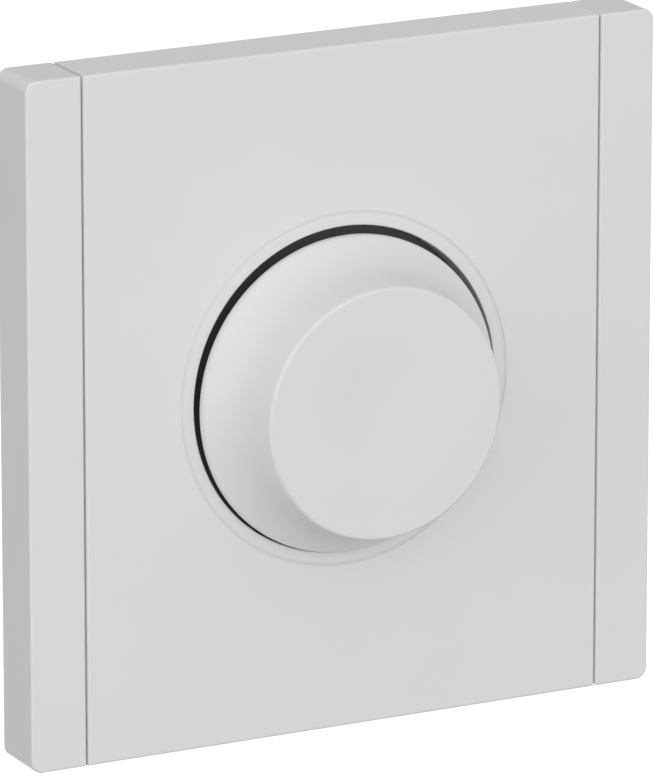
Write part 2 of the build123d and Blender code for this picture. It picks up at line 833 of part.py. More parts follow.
with BuildPart() as triac_rivet:
    with BuildSketch(wall_plane(seat_back - triac_depth)):
        with Locations((triac_x, triac_z)):
            Circle(rivet_radius)
    extrude(amount=seat_front - seat_back + triac_depth)
    with BuildSketch(wall_plane(seat_front)):
        with Locations((triac_x, triac_z)):
            Circle(rivet_head_radius)
    extrude(amount=rivet_head_height)
    with BuildSketch(wall_plane(seat_back - triac_depth)):
        with Locations((triac_x, triac_z)):
            Circle(rivet_head_radius)
    extrude(amount=-rivet_head_height)
save(triac_rivet, "triac_rivet")

# Choke: an iron-powder ring wound with enamelled wire, standing on the board
choke_back = pcb_front + choke_wire
choke_axis = Axis((choke_x, 0, choke_z), (0, 1, 0))
with BuildPart() as choke_core:
    with BuildSketch(wall_plane(choke_back)):
        with Locations((choke_x, choke_z)):
            Circle(choke_outer)
            Circle(choke_inner, mode=Mode.SUBTRACT)
    extrude(amount=choke_depth)
save(choke_core, "choke_core")

with BuildPart() as choke_winding:
    with BuildSketch(level_plane(choke_z)):
        with Locations((choke_x + (choke_outer + choke_inner) / 2, choke_back + choke_depth / 2)):
            wound_width = choke_outer - choke_inner + 2 * choke_wire
            Rectangle(wound_width, choke_depth + 2 * choke_wire)
            Rectangle(
                choke_outer - choke_inner + 2 * screw_thread_gap,
                choke_depth + 2 * screw_thread_gap,
                mode=Mode.SUBTRACT,
            )
    revolve(axis=choke_axis, revolution_arc=choke_angle)
    add_pins(choke_points, pcb_front)
save(choke_winding, "choke_winding")

with BuildPart() as film_capacitor:
    with BuildSketch(wall_plane(pcb_front)):
        with Locations((capacitor_x, capacitor_z)):
            Rectangle(capacitor_width, capacitor_height)
    extrude(amount=capacitor_depth)
    fillet(film_capacitor.edges().group_by(Axis.Y)[0], capacitor_edge)
    add_pins(capacitor_points, pcb_front)
save(film_capacitor, "film_capacitor")


def bent_lead_body(x, z, radius, length, points):
    """Small round body lying along X on the board, with a bent lead at each end."""
    with BuildPart() as body:
        height = pcb_front + radius
        with BuildSketch(Plane(origin=(x, -height, z), x_dir=(0, 1, 0), z_dir=(1, 0, 0))):
            Circle(radius)
        extrude(amount=length / 2, both=True)
        with BuildSketch(wall_plane(height - pin_size / 2)):
            with Locations((x, z)):
                Rectangle(points[1][0] - points[0][0] + pin_size, pin_size)
        extrude(amount=pin_size)
        add_pins(points, height)
    return body


save(bent_lead_body(choke_x, resistor_z, resistor_radius, resistor_length, resistor_points), "resistor")
save(bent_lead_body(triac_x, diac_z, diac_radius, diac_length, diac_points), "diac")

# Fuse: a glass tube with metal end caps, in two sprung clips
fuse_start = Plane(origin=(fuse_x, -fuse_height, fuse_z), x_dir=(0, 1, 0), z_dir=(1, 0, 0))
tube_radius = fuse_radius - clip_sheet / 2
with BuildPart() as fuse_tube:
    with BuildSketch(fuse_start):
        Circle(tube_radius)
        Circle(tube_radius - fuse_glass, mode=Mode.SUBTRACT)
    extrude(amount=fuse_length / 2 - clip_sheet, both=True)
save(fuse_tube, "fuse_tube")

with BuildPart() as fuse_caps:
    for end in (-1, 1):
        cap_end = fuse_start.offset(end * fuse_length / 2)
        with BuildSketch(cap_end):
            Circle(fuse_radius)
        extrude(amount=-end * fuse_cap_length)
        with BuildSketch(cap_end.offset(-end * clip_sheet)):
            Circle(tube_radius + screw_thread_gap)
        extrude(amount=-end * fuse_cap_length, mode=Mode.SUBTRACT)
save(fuse_caps, "fuse_caps")

with BuildPart() as fuse_clips:
    for x in fuse_clip_xs:
        grip = fuse_radius + screw_thread_gap
        with BuildSketch(Plane(origin=(x, -fuse_height, fuse_z), x_dir=(0, 0, 1), z_dir=(1, 0, 0))):
            Circle(grip + clip_sheet)
            with Locations((0, grip)):
                Rectangle(2 * grip, grip, mode=Mode.SUBTRACT)
            with Locations((0, -(grip + fuse_lift) / 2)):
                Rectangle(clip_width / 2, fuse_lift - grip)
            Circle(grip, mode=Mode.SUBTRACT)
        extrude(amount=clip_width / 2, both=True)
    add_pins(fuse_points, pcb_front)
save(fuse_clips, "fuse_clips")


def terminal_block(x):
    """Brass block with a wire bore from the back, a tapped hole from below and a solder tab."""
    with BuildPart() as block:
        with BuildSketch(wall_plane(floor_front)):
            with Locations((x, (terminal_bottom + terminal_top) / 2)):
                Rectangle(terminal_width, terminal_height)
        extrude(amount=terminal_length)
        with BuildSketch(wall_plane(pcb_front)):
            with Locations((x, (terminal_top + tab_top) / 2)):
                Rectangle(tab_width, tab_top - terminal_top)
        extrude(amount=tab_sheet)
        with BuildSketch(wall_plane(floor_front)):
            with Locations((x, wire_z)):
                Circle(wire_radius)
        extrude(amount=terminal_length, mode=Mode.SUBTRACT)
        with BuildSketch(Plane.XY.offset(terminal_bottom)):
            with Locations((x, -(floor_front + terminal_front) / 2)):
                Circle(terminal_screw_radius + screw_thread_gap)
        extrude(amount=wire_z - terminal_bottom, mode=Mode.SUBTRACT)
    return block


for place, x in zip(("left", "middle", "right"), terminal_xs):
    save(terminal_block(x), f"terminal_{place}")

terminal_screw_y = -(floor_front + terminal_front) / 2
with BuildPart() as terminal_screws:
    for x in terminal_xs:
        add_screw(
            Plane(origin=(x, terminal_screw_y, terminal_screw_seat), z_dir=(0, 0, -1)),
            terminal_screw_radius,
            terminal_screw_tip - terminal_screw_seat,
            terminal_head_radius,
            terminal_head_height,
        )
save(terminal_screws, "terminal_screws")

# Case: a deep moulded tray that closes on the bracket, with a bay in its floor where the wires
# enter, screw ways in its bottom wall, partitions between the terminals and posts under the board
with BuildPart() as housing_base:
    with BuildSketch(wall_plane(floor_back)):
        RectangleRounded(housing_width, housing_height, housing_corner)
    extrude(amount=seat_back - floor_back)
    chamfer(housing_base.faces().sort_by(Axis.Y)[-1].edges(), housing_edge)
    with BuildSketch(wall_plane(floor_front)):
        RectangleRounded(inner_width, inner_height, housing_corner - housing_wall)
    extrude(amount=seat_back - floor_front, mode=Mode.SUBTRACT)
    with BuildSketch(wall_plane(floor_front)):
        RectangleRounded(inner_width, inner_height, housing_corner - housing_wall)
        with BuildSketch(wall_plane(floor_front), mode=Mode.INTERSECT):
            with Locations(*boss_points):
                Circle(boss_radius)
    extrude(amount=seat_back - floor_front)
    with BuildSketch(wall_plane(floor_front)):
        with Locations((-terminal_pitch / 2, -inner_height / 2), (terminal_pitch / 2, -inner_height / 2)):
            Rectangle(partition_wall, terminal_height, align=(Align.CENTER, Align.MIN))
    extrude(amount=terminal_length)
    with BuildSketch(wall_plane(floor_front)):
        with GridLocations(inner_width - 4 * post_radius, 0, 2, 1):
            Circle(post_radius)
    extrude(amount=solder_room)
    bay_height = terminal_gap + terminal_height + bay_gap
    with BuildSketch(wall_plane(floor_back)):
        with Locations((0, -inner_height / 2)):
            Rectangle(2 * (terminal_room + bay_gap), bay_height, align=(Align.CENTER, Align.MIN))
    extrude(amount=housing_wall, mode=Mode.SUBTRACT)
    with BuildSketch(wall_plane(floor_back)):
        with Locations(*boss_points):
            Circle(case_head_radius + pin_gap)
    extrude(amount=case_screw_seat - floor_back, mode=Mode.SUBTRACT)
    with BuildSketch(wall_plane(case_screw_seat)):
        with Locations(*boss_points):
            Circle(case_screw_radius + screw_thread_gap)
    extrude(amount=seat_back - case_screw_seat, mode=Mode.SUBTRACT)
    with BuildSketch(Plane.XY.offset(-housing_height / 2)):
        with Locations(*[(x, terminal_screw_y) for x in terminal_xs]):
            Circle(terminal_head_radius + screw_way_gap)
    extrude(amount=housing_wall, mode=Mode.SUBTRACT)
save(housing_base, "housing_base")

with BuildPart() as housing_screws:
    for x, z in boss_points:
        add_screw(
            Plane(origin=(x, -case_screw_seat, z), z_dir=(0, 1, 0)),
            case_screw_radius,
            seat_front - case_screw_seat,
            case_head_radius,
            case_head_height,
        )
save(housing_screws, "housing_screws")


def claw(side):
    """Bent steel claw: a leg beside the case, a tapped nut leg on the screw and a toothed tip."""
    leg_out = claw_leg_x + claw_sheet
    tip_back = seat_back - claw_length
    with BuildPart() as strip:
        with BuildSketch(level_plane(0)):
            with BuildLine():
                outline = [
                    (claw_leg_x, seat_back - claw_top),
                    (leg_out, seat_back - claw_top),
                    (leg_out, tip_back + 2 * claw_bite),
                    (leg_out + claw_bite, tip_back),
                    (claw_leg_x, tip_back),
                    (claw_leg_x, seat_back - claw_nut_depth - claw_sheet),
                    (claw_screw_x - claw_nut_reach, seat_back - claw_nut_depth - claw_sheet),
                    (claw_screw_x - claw_nut_reach, seat_back - claw_nut_depth),
                    (claw_leg_x, seat_back - claw_nut_depth),
                ]
                Polyline(*[(side * x, height) for x, height in outline], close=True)
            make_face()
        extrude(amount=claw_width / 2, both=True)
        with BuildSketch(wall_plane(tip_back)):
            tooth = claw_width / claw_teeth
            with Locations((side * (leg_out + claw_bite), 0)):
                with GridLocations(0, tooth, 1, claw_teeth - 1):
                    Rectangle(2 * claw_bite, tooth / 2)
        extrude(amount=2 * claw_bite, mode=Mode.SUBTRACT)
        with BuildSketch(wall_plane(seat_back - claw_nut_depth - claw_sheet)):
            with Locations((side * claw_screw_x, 0)):
                Circle(claw_screw_radius + screw_thread_gap)
        extrude(amount=claw_sheet, mode=Mode.SUBTRACT)
    return strip


def claw_screw(side):
    """Long screw with its head on the front of the bracket, which draws the claw outwards."""
    with BuildPart() as screw:
        add_screw(
            Plane(origin=(side * claw_screw_x, -seat_front, 0), z_dir=(0, -1, 0)),
            claw_screw_radius,
            claw_screw_length,
            claw_head_radius,
            claw_head_height,
        )
    return screw


for place, side in (("left", -1), ("right", 1)):
    save(claw(side), f"claw_{place}")
    save(claw_screw(side), f"claw_screw_{place}")
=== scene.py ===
import math

import bpy
import numpy as np
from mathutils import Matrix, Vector


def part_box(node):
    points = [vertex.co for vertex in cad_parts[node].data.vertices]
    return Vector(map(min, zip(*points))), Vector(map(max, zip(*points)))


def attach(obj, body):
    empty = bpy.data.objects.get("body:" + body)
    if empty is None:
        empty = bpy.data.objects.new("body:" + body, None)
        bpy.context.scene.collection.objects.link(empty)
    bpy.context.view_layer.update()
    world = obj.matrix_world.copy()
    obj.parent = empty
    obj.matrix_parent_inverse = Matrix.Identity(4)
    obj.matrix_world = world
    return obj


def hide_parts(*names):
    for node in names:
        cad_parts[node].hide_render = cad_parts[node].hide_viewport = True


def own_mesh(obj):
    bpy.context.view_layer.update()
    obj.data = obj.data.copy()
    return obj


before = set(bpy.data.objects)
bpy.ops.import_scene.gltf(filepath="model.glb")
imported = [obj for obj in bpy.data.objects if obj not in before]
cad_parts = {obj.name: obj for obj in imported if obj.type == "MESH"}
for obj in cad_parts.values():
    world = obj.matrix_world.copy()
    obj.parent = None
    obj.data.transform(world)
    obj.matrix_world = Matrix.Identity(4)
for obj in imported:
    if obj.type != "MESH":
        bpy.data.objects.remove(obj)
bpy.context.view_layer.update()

# Circuit board and track board: brown paper laminate bound with phenolic resin, punched to shape.
# The paper's fibres show as long pale streaks under a thin satin skin of resin.


def linear(hex_colour):
    """sRGB hex value as linear RGBA: c / 12.92 up to 0.04045, and ((c + 0.055) / 1.055) ** 2.4 above."""
    c = np.array([int(hex_colour[i:i + 2], 16) for i in (1, 3, 5)]) / 255.0
    rgb = np.where(c <= 0.04045, c / 12.92, ((c + 0.055) / 1.055) ** 2.4)
    return (*rgb.tolist(), 1.0)


def add_node(tree, kind, inputs=None, **settings):
    """Adds one node: attributes from settings, inputs from values or from another node's output socket."""
    node = tree.nodes.new(kind)
    for name, value in settings.items():
        setattr(node, name, value)
    for name, value in (inputs or {}).items():
        if isinstance(value, bpy.types.NodeSocket):
            tree.links.new(value, node.inputs[name])
        else:
            node.inputs[name].default_value = value
    return node


mm_per_m = 1000


def finish(name, light, dark, roughness, cloud_mm, grain_mm, depth_mm, spread=0.06, **sockets):
    """Surface of two close tones in a slow cloud, with a finer grain that raises it and varies its gloss.

    cloud_mm and grain_mm are the sizes of one patch along X, Y and Z, so a long side draws a streak.
    The tones change over the middle part of the noise, between the two ramp stops.
    """
    noise_detail = 3.0
    ramp_stops = (0.3, 0.7)
    material = bpy.data.materials.new(name)
    material.use_nodes = True
    tree = material.node_tree
    tree.nodes.clear()
    place = add_node(tree, "ShaderNodeTexCoord").outputs["Object"]
    patches = []
    for size_mm in (cloud_mm, grain_mm):
        scale = tuple(mm_per_m / side for side in size_mm)
        stretched = add_node(tree, "ShaderNodeMapping", {"Vector": place, "Scale": scale}).outputs["Vector"]
        noise = add_node(tree, "ShaderNodeTexNoise", {
            "Vector": stretched, "Scale": 1.0, "Detail": noise_detail,
        })
        patches.append(noise.outputs["Fac"])
    tone = add_node(tree, "ShaderNodeValToRGB", {"Fac": patches[0]})
    for element, stop, colour in zip(tone.color_ramp.elements, ramp_stops, (dark, light)):
        element.position = stop
        element.color = linear(colour)
    gloss = add_node(tree, "ShaderNodeMapRange", {
        "Value": patches[1], "To Min": roughness - spread, "To Max": roughness + spread,
    })
    bump = add_node(tree, "ShaderNodeBump", {"Height": patches[1], "Distance": depth_mm / mm_per_m})
    shader = add_node(tree, "ShaderNodeBsdfPrincipled", {
        "Base Color": tone.outputs["Color"], "Roughness": gloss.outputs["Result"],
        "Normal": bump.outputs["Normal"], **sockets,
    })
    add_node(tree, "ShaderNodeOutputMaterial", {"Surface": shader.outputs["BSDF"]})
    return material


def dress(material, *names):
    """Gives the material to these pieces of the frame."""
    for name in names:
        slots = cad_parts[name].data.materials
        slots.clear()
        slots.append(material)


laminate = finish(
    "phenolic paper laminate, punched", light="#A9733C", dark="#8A5A2C", roughness=0.42,
    cloud_mm=(9.0, 9.0, 3.0), grain_mm=(2.5, 0.3, 0.3), depth_mm=0.004, IOR=1.6,
)
dress(laminate, "circuit_board", "track_board")

# Carbon track: a ring of graphite paste, screen-printed on the track board and baked. It is a dull
# black with a fine dry grain, and the wiper runs on it.
carbon = finish(
    "carbon paste, screen printed", light="#232425", dark="#17181A", roughness=0.7,
    cloud_mm=(2.0, 2.0, 2.0), grain_mm=(0.2, 0.2, 0.2), depth_mm=0.004, IOR=1.5,
)
dress(carbon, "carbon_track")

# Semiconductor: a matt black epoxy body moulded round its three legs, which are tinned and soldered to
# the board. Below the body only the legs are left, so there the surface turns to bare metal.


def metal_beyond(material, axis, middle_mm, half_mm, metal):
    """Turns the surface to bare metal where its distance from middle_mm along the axis is over half_mm."""
    tree = material.node_tree
    shader = tree.nodes["Principled BSDF"]
    place = tree.nodes["Texture Coordinate"].outputs["Object"]
    along = add_node(tree, "ShaderNodeSeparateXYZ", {"Vector": place}).outputs[axis]
    offset = add_node(tree, "ShaderNodeMath", {0: along, 1: middle_mm / mm_per_m}, operation="SUBTRACT")
    away = add_node(tree, "ShaderNodeMath", {0: offset.outputs[0]}, operation="ABSOLUTE")
    bare = add_node(tree, "ShaderNodeMath", {
        0: away.outputs[0], 1: half_mm / mm_per_m,
    }, operation="GREATER_THAN")
    body_colour = shader.inputs["Base Color"].links[0].from_socket
    colour = add_node(tree, "ShaderNodeMix", {
        "Factor": bare.outputs[0], "A": body_colour,
    }, data_type="RGBA")
    colour.inputs["B"].default_value = linear(metal)
    tree.links.new(colour.outputs["Result"], shader.inputs["Base Color"])
    tree.links.new(bare.outputs[0], shader.inputs["Metallic"])


tin = "#C9CACB"
triac_body_mm = 11.0
triac_top_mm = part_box("triac")[1][2] * mm_per_m
epoxy = finish(
    "black epoxy, transfer moulded", light="#262627", dark="#1D1D1E", roughness=0.5,
    cloud_mm=(4.0, 4.0, 4.0), grain_mm=(0.25, 0.25, 0.25), depth_mm=0.006, IOR=1.55,
)
metal_beyond(epoxy, "Z", triac_top_mm - triac_body_mm / 2, triac_body_mm / 2, tin)
dress(epoxy, "triac")

# Film capacitor: wound film potted in a small yellow box, which is glossy from its polished mould.
# It stands on the board on two tinned wires.
capacitor_depth_mm = 10.0
capacitor_front_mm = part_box("film_capacitor")[0][1] * mm_per_m
polyester = finish(
    "yellow polyester box, moulded", light="#D9B23A", dark="#CFA62F", roughness=0.25,
    cloud_mm=(5.0, 5.0, 5.0), grain_mm=(0.6, 0.6, 0.6), depth_mm=0.002, IOR=1.55,
)
metal_beyond(polyester, "Y", capacitor_front_mm + capacitor_depth_mm / 2, capacitor_depth_mm / 2, tin)
dress(polyester, "film_capacitor")

# Resistor: a ceramic rod dipped in beige lacquer, with four painted value rings. The lacquer is
# smooth and half glossy, and the bent leads are bare tinned wire.


def box_middle_mm(name, axis):
    """Middle of a node's box along an axis, in millimetres."""
    low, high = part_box(name)
    return (low[axis] + high[axis]) / 2 * mm_per_m


resistor_length_mm = 6.4
resistor_middle_mm = box_middle_mm("resistor", 0)
ring_places = (0.14, 0.34, 0.52, 0.80)
ring_colours = ("#7A4A22", "#1C1C1C", "#C8661E", "#B08A3C")
ring_share = 0.09
lacquer = finish(
    "beige lacquer, dipped and ringed", light="#D8BE93", dark="#CBAF83", roughness=0.3,
    cloud_mm=(2.0, 2.0, 2.0), grain_mm=(0.5, 0.5, 0.5), depth_mm=0.003, IOR=1.52,
)
tree = lacquer.node_tree
place = tree.nodes["Texture Coordinate"].outputs["Object"]
along = add_node(tree, "ShaderNodeSeparateXYZ", {"Vector": place}).outputs["X"]
share = add_node(tree, "ShaderNodeMapRange", {
    "Value": along,
    "From Min": (resistor_middle_mm - resistor_length_mm / 2) / mm_per_m,
    "From Max": (resistor_middle_mm + resistor_length_mm / 2) / mm_per_m,
}).outputs["Result"]
coat = tree.nodes["Principled BSDF"].inputs["Base Color"].links[0].from_socket
for ring_place, ring_colour in zip(ring_places, ring_colours):
    ring = add_node(tree, "ShaderNodeMath", {
        0: share, 1: ring_place, 2: ring_share / 2,
    }, operation="COMPARE")
    painted = add_node(tree, "ShaderNodeMix", {"Factor": ring.outputs[0], "A": coat}, data_type="RGBA")
    painted.inputs["B"].default_value = linear(ring_colour)
    coat = painted.outputs["Result"]
tree.links.new(coat, tree.nodes["Principled BSDF"].inputs["Base Color"])
metal_beyond(lacquer, "X", resistor_middle_mm, resistor_length_mm / 2, tin)
dress(lacquer, "resistor")

# Trigger diode: a bead of blue-tinted glass fused round its two leads. It is clear-edged and glossy
# beside the satin board.
diac_length_mm = 4.2
bead_glass = finish(
    "blue diode glass, fused", light="#4F74B8", dark="#3F62A4", roughness=0.12,
    cloud_mm=(2.0, 2.0, 2.0), grain_mm=(0.8, 0.8, 0.8), depth_mm=0.001, IOR=1.52,
)
metal_beyond(bead_glass, "X", box_middle_mm("diac", 0), diac_length_mm / 2, tin)
dress(bead_glass, "diac")

# Choke: a pressed ring of iron powder under dull grey paint, wound with one layer of enamelled copper
# wire. The turns lie side by side in the bore and fan out round the rim, the clear enamel gives the
# copper an amber gloss, and the wire's two ends go straight through the board.
choke_wire = 0.0007
choke_section = 0.002
choke_sweep = math.radians(300)
wire_clearance = 0.000015
wire_corner_steps = 4
wire_sides = 10
pin_size = 0.0008
sharp_angle = math.radians(40)


def add_piece(name, material, body, slot, *stacks):
    """Piece made of closed shells that rides on a body and wears the given material.

    Each shell is a stack of rings, an array of rows, columns and X, Y, Z. Four-sided faces join
    neighbouring rings, and one face closes each end. The slot is not used.
    """
    points = []
    faces = []
    count = 0
    for rings in stacks:
        index = count + np.arange(rings.shape[0] * rings.shape[1]).reshape(rings.shape[:2])
        beside = np.roll(index, -1, axis=1)
        quads = np.stack([index[:-1], beside[:-1], beside[1:], index[1:]], axis=2).reshape(-1, 4)
        faces += quads.tolist() + [index[0, ::-1].tolist(), index[-1].tolist()]
        points.append(rings.reshape(-1, 3))
        count += index.size
    mesh = bpy.data.meshes.new(name)
    mesh.from_pydata(np.concatenate(points).tolist(), [], faces)
    mesh.polygons.foreach_set("use_smooth", np.ones(len(faces), dtype=bool))
    mesh.set_sharp_from_angle(angle=sharp_angle)
    mesh.materials.append(material)
    piece = bpy.data.objects.new(name, mesh)
    bpy.context.scene.collection.objects.link(piece)
    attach(piece, body)
    return piece


def wire(path, side):
    """Round wire along a path: each ring is path + radius * (cos u * normal + sin u * binormal).

    The normal is the given side direction made square to the path, and the binormal is square to both.
    """
    radius = choke_wire / 2 - wire_clearance
    forward = np.gradient(path, axis=0)
    forward /= np.linalg.norm(forward, axis=1, keepdims=True)
    normal = side - (side * forward).sum(axis=1, keepdims=True) * forward
    normal /= np.linalg.norm(normal, axis=1, keepdims=True)
    binormal = np.cross(forward, normal)
    u = np.linspace(0.0, 2 * math.pi, wire_sides, endpoint=False)[:, None]
    return path[:, None] + radius * (np.cos(u) * normal[:, None] + np.sin(u) * binormal[:, None])


def choke_turns(middle, outer, half_depth):
    """Wire in turns: a rounded rectangle round the core's section, carried round the core's axis along Y.

    Each corner is a quarter circle of half a wire about a corner of the section. The angle round the axis
    grows evenly with the length of the wire, from +X towards -Z.
    """
    ring_radius = outer - choke_section / 2
    bore_radius = outer - choke_section - choke_wire / 2
    turns = int(choke_sweep / (2 * math.asin(choke_wire / 2 / bore_radius)))
    quarter = np.arange(4)[:, None] * math.pi / 2
    bend = quarter + np.linspace(0.0, math.pi / 2, wire_corner_steps)
    corner = quarter + math.pi / 4
    out = np.sign(np.cos(corner)) * choke_section / 2 + np.cos(bend) * choke_wire / 2
    back = np.sign(np.sin(corner)) * half_depth + np.sin(bend) * choke_wire / 2
    bend, out, back = (np.tile(values.ravel(), turns) for values in (bend, out, back))
    length = np.append(0.0, np.cumsum(np.hypot(np.diff(out), np.diff(back))))
    angle = choke_sweep * length / length[-1]
    radius = ring_radius + out
    path = middle + np.stack([radius * np.cos(angle), back, -radius * np.sin(angle)], axis=1)
    side = np.stack([np.cos(bend) * np.cos(angle), np.sin(bend), -np.cos(bend) * np.sin(angle)], axis=1)
    return wire(path, side)


def wire_end(x, z, front, back):
    """Straight end of the wire along Y."""
    return wire(np.array([(x, front, z), (x, back, z)]), np.array([(1.0, 0.0, 0.0)] * 2))


iron_powder = finish(
    "iron powder, pressed and painted", light="#5E5A55", dark="#4F4B47", roughness=0.6,
    cloud_mm=(1.5, 1.5, 1.5), grain_mm=(0.2, 0.2, 0.2), depth_mm=0.01, IOR=1.5,
)
dress(iron_powder, "choke_core")
enamelled_copper = finish(
    "copper wire, enamelled", light="#C8743C", dark="#B4622E", roughness=0.3,
    cloud_mm=(2.0, 2.0, 2.0), grain_mm=(0.6, 0.6, 0.6), depth_mm=0.002,
    Metallic=1.0, **{"Coat Weight": 0.6},
)
core_low, core_high = (np.array(corner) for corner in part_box("choke_core"))
core_middle = (core_low + core_high) / 2
core_outer = (core_high[0] - core_low[0]) / 2
core_half_depth = (core_high[1] - core_low[1]) / 2
end_front = core_high[1] + choke_wire / 2
end_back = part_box("choke_winding")[1][1]
end_offset = core_outer + choke_wire - pin_size / 2
winding = add_piece(
    "choke_turns", enamelled_copper, "insert", "enamelled_copper",
    choke_turns(core_middle, core_outer, core_half_depth),
    wire_end(core_middle[0], core_middle[2] - end_offset, end_front, end_back),
    wire_end(core_middle[0], core_middle[2] + end_offset, end_front, end_back),
)
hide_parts("choke_winding")

# Fuse: a clear drawn glass tube in two tinned caps. It snaps into two clips of phosphor bronze, the same
# sprung strip as the switch's contacts and the control's wiper, with the fine lines of its rolling.
drawn_glass = finish(
    "soda-lime glass, drawn", light="#F2F7F6", dark="#EAF2F1", roughness=0.05, spread=0.02,
    cloud_mm=(6.0, 6.0, 6.0), grain_mm=(4.0, 1.0, 1.0), depth_mm=0.001,
    IOR=1.52, **{"Transmission Weight": 1.0},
)
dress(drawn_glass, "fuse_tube")
tin_plate = finish(
    "tin plate, dipped", light=tin, dark="#B9BABC", roughness=0.28,
    cloud_mm=(3.0, 3.0, 3.0), grain_mm=(0.4, 0.4, 0.4), depth_mm=0.003, Metallic=1.0,
)
dress(tin_plate, "fuse_caps", "pot_pins")
bronze = finish(
    "phosphor bronze, stamped", light="#C79A62", dark="#B58750", roughness=0.32,
    cloud_mm=(4.0, 4.0, 4.0), grain_mm=(3.0, 0.15, 0.15), depth_mm=0.002, Metallic=1.0,
)
dress(bronze, "fuse_clips", "fixed_contacts", "contact_bridge", "pot_wiper")

# Solder joints: tin alloy that wetted each pin and its pad when the board passed over the bath. Each
# froze as a bright hollow cone, a little duller where it cooled last.
solder_foot = 0.00095
solder_neck = 0.0005
solder_height = 0.00028
solder_sink = 0.00002
solder_rows = 6
solder_columns = 16
board_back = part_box("circuit_board")[1][1]


def pin_ends(*names):
    """Middles in X and Z of the square pins of these nodes, taken at their ends behind the board.

    A middle lies half a pin above the lowest corner of its pin and half a pin below the highest, so it is
    in both sets of such points. They are compared in whole steps, shifted so that no corner lies between
    two.
    """
    step = 0.00001
    shift = 0.31
    level_tolerance = 0.000005
    corners = []
    for name in names:
        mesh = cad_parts[name].data
        points = np.empty(3 * len(mesh.vertices), dtype=np.float32)
        mesh.vertices.foreach_get("co", points)
        points = points.reshape(-1, 3)
        corners.append(points[points[:, 1] > points[:, 1].max() - level_tolerance][:, [0, 2]])
    places = np.floor(np.concatenate(corners) / step + shift).astype(int)
    half = round(pin_size / 2 / step)
    middles = set(map(tuple, places + half)) & set(map(tuple, places - half))
    return (np.array(sorted(middles)) + 0.5 - shift) * step


def solder_joint(x, z):
    """Hollow cone round a pin.

    At share s of its height its radius is neck + (foot - neck) * (1 - s) ** 2.
    """
    s = np.linspace(0.0, 1.0, solder_rows)[:, None]
    u = np.linspace(0.0, 2 * math.pi, solder_columns, endpoint=False)
    radius = solder_neck + (solder_foot - solder_neck) * (1 - s) ** 2
    y = board_back - solder_sink + (solder_sink + solder_height) * s
    return np.stack(np.broadcast_arrays(x + radius * np.sin(u), y, z + radius * np.cos(u)), axis=2)


solder = finish(
    "tin solder, cooled from the bath", light="#D0D2D4", dark="#B4B6B8", roughness=0.2,
    cloud_mm=(0.8, 0.8, 0.8), grain_mm=(0.3, 0.3, 0.3), depth_mm=0.004, Metallic=1.0,
)
soldered = pin_ends(
    "pot_pins", "fixed_contacts", "triac", "film_capacitor",
    "choke_winding", "fuse_clips", "resistor", "diac",
)
add_piece("solder_joints", solder, "insert", "tinned_metal", *[solder_joint(x, z) for x, z in soldered])

# Push switch and the control's rotor: cream acetal, straight from the mould and snapped together. It is
# slippery and looks slightly waxy.
acetal = finish(
    "cream acetal, moulded", light="#DCD3B8", dark="#D3C9AC", roughness=0.38,
    cloud_mm=(8.0, 8.0, 8.0), grain_mm=(0.5, 0.5, 0.5), depth_mm=0.004, IOR=1.48,
)
dress(acetal, "switch_housing", "switch_plunger", "pot_rotor")

# Springs: the leaf that returns the knob, bent into a U behind the plunger, and the clip that grips the
# shaft in the knob's hub. Both are rolled and hardened steel strip, darker than plated steel and with fine
# lines along it.
leaf_sheet = 0.0003
leaf_bend_steps = 16


def spring_leaf(low, high):
    """Strip along a U that fills this box: two straight arms along X, joined by a half circle.

    Each ring is the strip's section, half a sheet out and in from the middle line and half its width to
    both sides along Z.
    """
    bend = (high[1] - low[1]) / 2
    turn = np.linspace(-math.pi / 2, -3 * math.pi / 2, leaf_bend_steps)
    middle_radius = bend - leaf_sheet / 2
    out_x = np.concatenate([[0.0], np.cos(turn), [0.0]])[:, None]
    out_y = np.concatenate([[-1.0], np.sin(turn), [1.0]])[:, None]
    x = np.concatenate([[high[0]], low[0] + bend + middle_radius * np.cos(turn), [high[0]]])[:, None]
    y = low[1] + bend + middle_radius * out_y
    out = np.array([1, 1, -1, -1]) * leaf_sheet / 2
    z = np.array([low[2], high[2], high[2], low[2]])
    return np.stack(np.broadcast_arrays(x + out_x * out, y + out_y * out, z), axis=2)


spring_steel = finish(
    "spring steel, rolled", light="#8E9298", dark="#7C8086", roughness=0.3,
    cloud_mm=(3.0, 3.0, 3.0), grain_mm=(4.0, 0.2, 0.2), depth_mm=0.002, Metallic=1.0,
)
dress(spring_steel, "knob_clip")
leaf_low, leaf_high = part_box("return_spring")
leaf = add_piece("return_leaf", spring_steel, "insert", "spring_steel", spring_leaf(leaf_low, leaf_high))
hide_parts("return_spring")
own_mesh(leaf)

# Shaft and bush: the shaft is a turned aluminium rod and the bush turned brass, clamped to the bracket
# by its nut. The tool leaves fine rings round both, drawn three times as coarse here so that they show.
turned_grain = (6.0, 0.3, 6.0)
turned_depth = 0.004
aluminium = finish(
    "aluminium, turned", light="#C6C8CB", dark="#B6B8BB", roughness=0.3,
    cloud_mm=(5.0, 5.0, 5.0), grain_mm=turned_grain, depth_mm=turned_depth, Metallic=1.0,
)
dress(aluminium, "shaft", "triac_rivet")
turned_brass = finish(
    "brass, turned", light="#D8B56C", dark="#C6A25A", roughness=0.28,
    cloud_mm=(5.0, 5.0, 5.0), grain_mm=turned_grain, depth_mm=turned_depth, Metallic=1.0,
)
dress(turned_brass, "threaded_bush")

